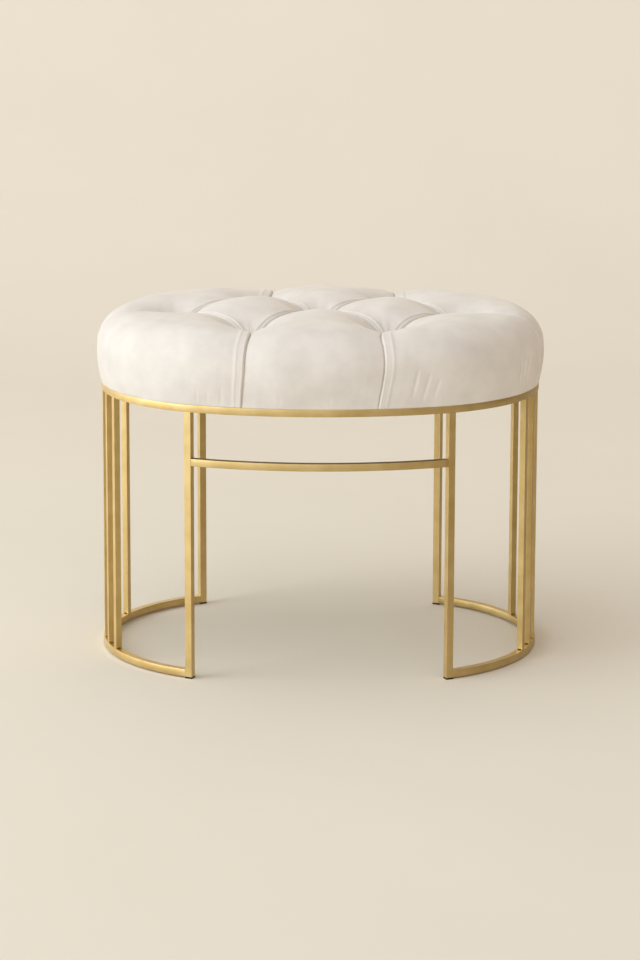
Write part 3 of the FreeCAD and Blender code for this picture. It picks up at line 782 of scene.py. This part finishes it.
# %% Brass
def make_brass(name, grain):
    """Brushed brass. grain gives how many brush lines a metre crosses along X, Y and Z."""
    material, tree, shader = new_material(name)
    shader.inputs["Metallic"].default_value = 1.0
    shader.inputs["Coat Weight"].default_value = 0.6
    shader.inputs["Coat Roughness"].default_value = 0.3
    where = add_node(tree, "ShaderNodeTexCoord")
    cloud = add_node(
        tree, "ShaderNodeTexNoise", {"Vector": where.outputs["Object"], "Scale": 1 / 0.03, "Detail": 4.0}
    )
    tone = add_node(tree, "ShaderNodeValToRGB", {"Fac": cloud.outputs["Fac"]})
    tone.color_ramp.elements[0].position, tone.color_ramp.elements[1].position = 0.35, 0.65
    tone.color_ramp.elements[0].color = linear("#DDC17F")
    tone.color_ramp.elements[1].color = linear("#E9D193")
    tree.links.new(tone.outputs["Color"], shader.inputs["Base Color"])
    rough = add_node(
        tree,
        "ShaderNodeMapRange",
        {"Value": cloud.outputs["Fac"], "To Min": 0.44, "To Max": 0.54},
    )
    tree.links.new(rough.outputs["Result"], shader.inputs["Roughness"])
    # Brush lines are 0.1 mm apart; they are drawn ten times as coarse, and very shallow.
    stretch = add_node(tree, "ShaderNodeMapping", {"Vector": where.outputs["Object"], "Scale": grain})
    lines = add_node(
        tree, "ShaderNodeTexNoise", {"Vector": stretch.outputs["Vector"], "Scale": 1.0, "Detail": 2.0}
    )
    bump = add_node(
        tree, "ShaderNodeBump", {"Height": lines.outputs["Fac"], "Strength": 0.12, "Distance": 0.0002}
    )
    tree.links.new(bump.outputs["Normal"], shader.inputs["Normal"])
    return material


# Upright tubes are brushed up and down, and bent ones along their bend, which lies level.
brass_upright = make_brass("satin_brass_brushed_upright", (1000, 1000, 30))
brass_level = make_brass("satin_brass_brushed_level", (30, 30, 1000))
print("brass:", brass_upright.name, "and", brass_level.name)

# %% [markdown]
# The tubes stay the CAD's own solids. Their doubled points are welded, and their sharp edges get
# the half-millimetre rounding that drawn tube has, so that each edge catches a line of light.

# %% Finish the frame's tubes
WELD_DISTANCE = 0.01 * MM
CORNER_RADIUS = 0.5 * MM
CORNER_STEPS = 3
SHARP_ANGLE = math.radians(50)


def wears(node, word):
    """Whether one of a node's materials has a word in its name."""
    return any(slot.material and word in slot.material.name for slot in node.material_slots)


BRASS_NODES = [name for name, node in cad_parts.items() if wears(node, "brass")]
for name in BRASS_NODES:
    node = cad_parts[name]
    for slot in node.material_slots:
        slot.material = brass_upright if "upright" in name or "leg" in name else brass_level
    weld = node.modifiers.new("weld", "WELD")
    weld.merge_threshold = WELD_DISTANCE
    soft = node.modifiers.new("soft_corners", "BEVEL")
    soft.width = CORNER_RADIUS
    soft.segments = CORNER_STEPS
    soft.limit_method = "ANGLE"
    soft.angle_limit = SHARP_ANGLE
    soft.harden_normals = True
print("brass nodes:", len(BRASS_NODES))

# %% [markdown]
# ## The small parts below the seat
# The rest of the stool is seen only from low down or from behind: nylon glides under the legs,
# zinc-plated screws, the plywood board, a black dust sheet stapled under it, and the twine.

# %% Plain materials with a pattern
def make_mottled(name, dark, light, size, roughness, metallic=0.0, relief=0.0, stretch=(1, 1, 1)):
    """A material whose colour wanders between two tones in spots of a size in metres."""
    material, tree, shader = new_material(name)
    shader.inputs["Metallic"].default_value = metallic
    shader.inputs["Roughness"].default_value = roughness
    where = add_node(tree, "ShaderNodeTexCoord")
    scale = add_node(tree, "ShaderNodeMapping", {"Vector": where.outputs["Object"], "Scale": stretch})
    spots = add_node(
        tree, "ShaderNodeTexNoise", {"Vector": scale.outputs["Vector"], "Scale": 1 / size, "Detail": 4.0}
    )
    tone = add_node(tree, "ShaderNodeValToRGB", {"Fac": spots.outputs["Fac"]})
    tone.color_ramp.elements[0].position, tone.color_ramp.elements[1].position = 0.35, 0.65
    tone.color_ramp.elements[0].color = linear(dark)
    tone.color_ramp.elements[1].color = linear(light)
    tree.links.new(tone.outputs["Color"], shader.inputs["Base Color"])
    bump = add_node(
        tree, "ShaderNodeBump", {"Height": spots.outputs["Fac"], "Strength": relief, "Distance": size / 4}
    )
    tree.links.new(bump.outputs["Normal"], shader.inputs["Normal"])
    return material


# Moulded nylon has a faint eggshell skin; zinc plating a cool, cloudy shine.
nylon = make_mottled("black_moulded_nylon", "#121212", "#1C1B1A", 0.002, 0.45, relief=0.1)
zinc = make_mottled("zinc_plated_steel", "#B4B8BC", "#CDD0D2", 0.004, 0.32, metallic=1.0)
# Rotary-cut plywood shows long grain along the board, ten times as long as it is wide.
GRAIN = (0.1, 1, 1)
plywood = make_mottled("raw_birch_plywood", "#B98F5E", "#D9B98A", 0.008, 0.7, relief=0.15, stretch=GRAIN)
# Non-woven cloth is a mat of fibres; its dimples are 1.5 mm apart.
dust_cloth = make_mottled("black_nonwoven_polypropylene", "#0E0E0F", "#1D1D1F", 0.0015, 0.9, relief=0.4)
open_foam = make_mottled("cream_upholstery_foam", "#D9CDA4", "#EADFBD", 0.0015, 0.95, relief=0.5)
linen = make_mottled("waxed_linen_twine", "#CBC1A8", "#E0D8C2", 0.0012, 0.6, relief=0.4)
PLAIN = {"glide": nylon, "screws": zinc, "inserts": zinc, "washers": zinc, "board": plywood, "twines": linen}
for node_name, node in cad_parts.items():
    for word, material in PLAIN.items():
        if word in node_name:
            for slot in node.material_slots:
                slot.material = material
foam.data.materials.append(open_foam)
print("plain materials:", sorted({m.name for m in PLAIN.values()}))

# %% [markdown]
# ## Dust sheet
# The one sheet of the stool is cut to an oval, has a hole for each screw, and is stapled flat
# under the board. Its outline, its level and the places of its holes come from the CAD.

# %% Dust sheet
DUST_LOW, DUST_HIGH = (np.array(corner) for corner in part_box("dust_cover"))
SCREW_HEAD = 6 * MM
SCREW_X, SCREW_Y = (value - SCREW_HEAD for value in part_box("seat_screws")[1][:2])
SCREWS = np.array([(sx * SCREW_X, sy * SCREW_Y) for sx in (-1, 1) for sy in (-1, 1)])
SCREW_HOLE = 3.3 * MM
HOLE_STEPS = 16
HEM_STEPS = 240
DUST_GRID = 12 * MM


def to_screws(points):
    """How far each point is from the nearest screw."""
    return np.min([np.hypot(*(points - centre).T) for centre in SCREWS], axis=0)


def closed_loop(first, count):
    """The edges of a closed loop of points, of which the first has this number."""
    return [(first + i, first + (i + 1) % count) for i in range(count)]


def dust_sheet():
    """The sheet as a piece, and its area."""
    inset = HALF_WIDTH - DUST_HIGH[0]
    around = np.linspace(0, 2 * math.pi, HEM_STEPS, endpoint=False)
    x, y, out_x, out_y = on_outline(around)
    rim = np.stack([x - out_x * inset, y - out_y * inset], axis=1)
    turns = np.linspace(0, 2 * math.pi, HOLE_STEPS, endpoint=False)
    circle = SCREW_HOLE * np.stack([np.cos(turns), np.sin(turns)], axis=1)
    columns, rows = np.arange(-0.27, 0.28, DUST_GRID), np.arange(-0.2, 0.21, DUST_GRID)
    inner = np.stack(np.meshgrid(columns, rows), axis=-1).reshape(-1, 2)
    offset, _, _ = from_outline(inner[:, 0], inner[:, 1])
    clear = to_screws(inner) > SCREW_HOLE + 4 * MM
    inner = inner[(offset < -inset - 6 * MM) & clear]
    loops = closed_loop(0, HEM_STEPS)
    for hole in range(len(SCREWS)):
        loops += closed_loop(HEM_STEPS + hole * HOLE_STEPS, HOLE_STEPS)
    holes = [centre + circle for centre in SCREWS]
    flat, faces = triangulated(np.concatenate([rim, *holes, inner]), loops)
    middles = np.array([flat[list(face)].mean(axis=0) for face in faces])
    in_hole = to_screws(middles) < SCREW_HOLE * 0.97
    level = (DUST_LOW[2] + DUST_HIGH[2]) / 2
    kept = [face for face, gone in zip(faces, in_hole) if not gone]
    piece = new_piece("dust_sheet", [(x, y, level) for x, y in flat], kept)
    return piece, sum(face.area for face in piece.data.polygons)


dust, dust_area = dust_sheet()
dust.data.materials.append(dust_cloth)
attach(dust, BODY)
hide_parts("dust_cover")

# %% [markdown]
# ## Floor and backdrop
# The stool stands on a roll of warm white studio paper that turns up into a wall behind it.

# %% Floor and backdrop
SWEEP_HALF = 6.0  # half the width of the roll
SWEEP_FRONT = -6.0
SWEEP_BACK = 1.8  # where the floor begins to turn up
SWEEP_RADIUS = 1.6
SWEEP_TOP = 6.0
SWEEP_STEPS = 12


def make_sweep():
    """A floor that turns up into a wall, as a roll of studio paper does."""
    profile = [(SWEEP_FRONT, 0.0), (SWEEP_BACK, 0.0)]
    for i in range(1, SWEEP_STEPS + 1):
        angle = i / SWEEP_STEPS * math.pi / 2
        rise = SWEEP_RADIUS * (1 - math.cos(angle))
        profile.append((SWEEP_BACK + SWEEP_RADIUS * math.sin(angle), rise))
    profile.append((SWEEP_BACK + SWEEP_RADIUS, SWEEP_TOP))
    points = [(side, y, z) for y, z in profile for side in (-SWEEP_HALF, SWEEP_HALF)]
    faces = [(2 * i, 2 * i + 1, 2 * i + 3, 2 * i + 2) for i in range(len(profile) - 1)]
    return new_piece("paper_sweep", points, faces)


def make_paper():
    """Warm white paper. Where the brass mirrors it, its colour is painted darker towards the right: painted
    shade for the dim room there.
    """
    material, tree, shader = new_material("matte_studio_paper")
    where = add_node(tree, "ShaderNodeTexCoord").outputs["Object"]
    fibres = add_node(tree, "ShaderNodeTexNoise", {"Vector": where, "Scale": 2.5, "Detail": 6.0})
    tone = add_node(tree, "ShaderNodeValToRGB", {"Fac": fibres.outputs["Fac"]})
    tone.color_ramp.elements[0].color = linear("#E9E5D8")
    tone.color_ramp.elements[1].color = linear("#EFEBDF")
    # Painted shade: in glossy rays only, the paper's colour is mixed towards a dark brown, more so towards
    # the right.
    ray = add_node(tree, "ShaderNodeLightPath")
    place = add_node(tree, "ShaderNodeSeparateXYZ", {"Vector": where})
    to_right = add_node(
        tree,
        "ShaderNodeMapRange",
        {"Value": place.outputs["X"], "From Min": -0.7, "From Max": 0.7, "To Max": 0.55},
    )
    painted_shade_share = add_node(
        tree,
        "ShaderNodeMath",
        {0: ray.outputs["Is Glossy Ray"], 1: to_right.outputs["Result"]},
        operation="MULTIPLY",
    )
    # The dark brown is the painted shade that the brass mirrors on its right-facing sides.
    seen = add_node(
        tree,
        "ShaderNodeMix",
        {"Factor": painted_shade_share.outputs["Value"], 6: tone.outputs["Color"], 7: linear("#5E4E36")},
        data_type="RGBA",
    )
    tree.links.new(seen.outputs[2], shader.inputs["Base Color"])
    shader.inputs["Roughness"].default_value = 0.95
    shader.inputs["Specular IOR Level"].default_value = 0.1
    return material


sweep = make_sweep()
sweep.data.materials.append(make_paper())
print("stage:", sweep.name)

# %% [markdown]
# ## Light
# The photo's light is soft and comes mostly from a large window on the left. The sky carries it:
# a few steps of arithmetic on the direction make it bright at the window side and in front, and
# dim on the right. Low down the difference is larger than high up.

# %% Sky
world = bpy.data.worlds.new("studio")
bpy.context.scene.world = world
world.use_nodes = True
world_tree = world.node_tree
way = add_node(world_tree, "ShaderNodeTexCoord")
split = add_node(world_tree, "ShaderNodeSeparateXYZ", {"Vector": way.outputs["Generated"]})


def measure(operation, first, second=0.0, clamp=False):
    """One step of arithmetic on the sky's values."""
    node = add_node(world_tree, "ShaderNodeMath", {0: first, 1: second}, operation=operation, use_clamp=clamp)
    return node.outputs["Value"]


# The window's side of the sky is 1, the right side 0; the front is 1 and the back 0.
window_side = measure("MULTIPLY_ADD", split.outputs["X"], -0.5)
window_side.node.inputs[2].default_value = 0.5
front = measure("MULTIPLY", split.outputs["Y"], -1.0, clamp=True)
low_light = measure("ADD", measure("MULTIPLY", window_side, window_side), measure("MULTIPLY", front, 0.7))
low_light = measure("ADD", low_light, 0.33)
high_light = measure("ADD", measure("MULTIPLY", window_side, 0.85), measure("MULTIPLY", front, 0.45))
high_light = measure("ADD", high_light, 0.42)
height_share = add_node(
    world_tree,
    "ShaderNodeMapRange",
    {"Value": split.outputs["Z"], "From Min": 0.05, "From Max": 0.4},
    interpolation_type="SMOOTHSTEP",
)
sky = add_node(
    world_tree,
    "ShaderNodeMix",
    {"Factor": height_share.outputs["Result"], 2: low_light, 3: high_light},
    data_type="FLOAT",
)
print("steps in the sky:", len(world_tree.nodes))

# %% [markdown]
# The window's light is neutral, and the room on the right gives it back warmer. What the brass
# mirrors has more contrast than what lights the velvet, as a real room has: a bright window
# against dim corners.

# %% Hue and mirrored light
tint = add_node(world_tree, "ShaderNodeMapRange", {"Value": split.outputs["X"], "From Min": -0.4})
low_only = measure("SUBTRACT", 1.0, measure("MULTIPLY", height_share.outputs["Result"], 0.15))
warm_share = measure("MULTIPLY", tint.outputs["Result"], low_only)
hue = add_node(world_tree, "ShaderNodeValToRGB", {"Fac": warm_share})
hue.color_ramp.elements[0].color = linear("#F3F4F8")
hue.color_ramp.elements[1].color = linear("#D8AF78")
background = world_tree.nodes["Background"]
world_tree.links.new(hue.outputs["Color"], background.inputs["Color"])
ray = add_node(world_tree, "ShaderNodeLightPath")
contrast = measure("ADD", measure("MULTIPLY", window_side, 1.5), 0.5)
dim_front = measure("SUBTRACT", 1.0, measure("MULTIPLY", front, 0.5))
mirrored = measure("MULTIPLY", measure("MULTIPLY", sky.outputs[0], contrast), dim_front)
seen = add_node(
    world_tree,
    "ShaderNodeMix",
    {"Factor": ray.outputs["Is Glossy Ray"], 2: sky.outputs[0], 3: mirrored},
    data_type="FLOAT",
)
world_tree.links.new(seen.outputs[0], background.inputs["Strength"])
print("steps in the sky and in what it mirrors:", len(world_tree.nodes))

# %% [markdown]
# One large, weak lamp stands in for the window itself and throws the soft shadow to the right.

# %% Window lamp
def soft_box(name, place, target, size, power, colour):
    """A square lamp that points at a target."""
    data = bpy.data.lights.new(name, "AREA")
    data.shape = "SQUARE"
    data.size = size
    data.energy = power
    data.color = linear(colour)[:3]
    lamp = bpy.data.objects.new(name, data)
    lamp.location = place
    lamp.rotation_euler = (Vector(target) - Vector(place)).to_track_quat("-Z", "Y").to_euler()
    bpy.context.scene.collection.objects.link(lamp)
    return lamp


soft_box("window_left", (-3.0, -1.0, 1.9), target=(0, 0, 0.25), size=2.0, power=37, colour="#FFFDF8")
print("lamps:", len(bpy.data.lights))

# %% [markdown]
# ## Camera
# The camera stands where the photo was taken. Its place, its turns and its long lens were fitted
# to the outline of the frame and of the cushion in the photo.

# %% Camera
PHOTO_HEIGHT = 960
FOCAL_PIXELS = 2771.5  # focal length in pixels of the photo
RISE_PIXELS = 150  # how far the photo's middle lies below the optical axis
SENSOR = 36
CAMERA_SIDE = -0.0003
CAMERA_DISTANCE = 3.6213
CAMERA_HEIGHT = 1.0294
CAMERA_PITCH = 0.16597
CAMERA_ROLL = 0.00284
CAMERA_YAW = 0.00109

camera_data = bpy.data.cameras.new("camera")
camera = bpy.data.objects.new("camera", camera_data)
bpy.context.scene.collection.objects.link(camera)
camera_data.sensor_width = SENSOR
camera_data.lens = SENSOR * FOCAL_PIXELS / PHOTO_HEIGHT
camera_data.shift_y = -RISE_PIXELS / PHOTO_HEIGHT
turn = Matrix.Rotation(CAMERA_YAW, 4, "Z")
stand = Matrix.Translation((CAMERA_SIDE, -CAMERA_DISTANCE, CAMERA_HEIGHT))
look = Matrix.Rotation(math.pi / 2 - CAMERA_PITCH, 4, "X")
camera.matrix_world = turn @ stand @ look @ Matrix.Rotation(CAMERA_ROLL, 4, "Z")
bpy.context.scene.camera = camera
bpy.context.scene.view_settings.view_transform = "Standard"
print("lens", round(camera_data.lens, 2), "mm")

# %% [markdown]
# ## Finish
# Last, the view layer is brought up to date, and the script ends.

# %% Finish
bpy.context.view_layer.update()
